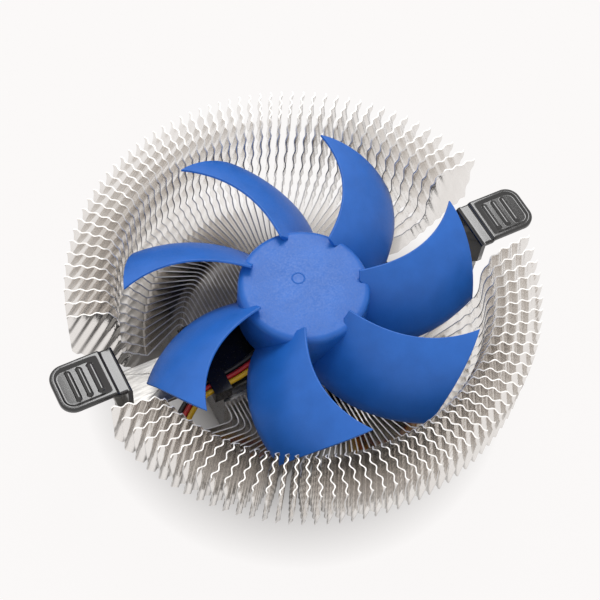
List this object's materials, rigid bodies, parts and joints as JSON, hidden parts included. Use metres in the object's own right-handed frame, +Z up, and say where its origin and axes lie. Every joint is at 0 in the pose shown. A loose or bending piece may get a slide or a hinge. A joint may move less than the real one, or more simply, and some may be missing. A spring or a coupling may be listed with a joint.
{
  "type": "low-profile processor cooler",
  "caption": "Round low-profile processor cooler: fans of corrugated aluminium fins around an open blue impeller, with a sprung clip across the middle and a fan lead.",
  "frame": {"origin": "centre of the contact face, at the lowest point of the cooler", "axes": "+Z up along the fan axis, +X along the clip, +Y towards the rear fan of fins"},
  "size_m": [0.1176, 0.1042, 0.037],
  "materials": {
    "core_aluminium": "machined",
    "fin_aluminium": "bright rolled sheet",
    "black_plastic": "fine satin",
    "blue_plastic": "fine satin",
    "white_plastic": "satin",
    "plated_steel": "zinc plated",
    "black_steel": "semi-gloss black",
    "magnet": "matt",
    "bearing_brass": "sintered",
    "copper": "enamelled wire",
    "board": "solder mask",
    "black_wire": "satin sleeve",
    "red_wire": "satin sleeve",
    "yellow_wire": "satin sleeve"
  },
  "bodies": {
    "base": {"heatsink_core": "core_aluminium", "rear_fins": "fin_aluminium", "front_fins": "fin_aluminium", "fan_frame": "black_plastic", "frame_screws": "plated_steel", "bearing_sleeve": "bearing_brass", "stator_core": "plated_steel", "windings": "copper", "circuit_board": "board", "board_parts": "black_plastic", "clip_strap": "plated_steel", "right_hook_plate": "black_steel", "left_hook_plate": "black_steel", "black_wire": "black_wire", "red_wire": "red_wire", "yellow_wire": "yellow_wire", "lead_hank": "black_wire", "hank_tie": "white_plastic", "lead_plug": "white_plastic"},
    "rotor": {"impeller": "blue_plastic", "rotor_yoke": "plated_steel", "magnet_ring": "magnet", "shaft": "plated_steel", "retaining_washer": "white_plastic"}
  },
  "joints": [
    {"name": "impeller_spin", "type": "hinge", "parent": "base", "child": "rotor", "pos_m": [0, 0, 0.025], "axis": [0, 0, 1], "continuous": true}
  ]
}
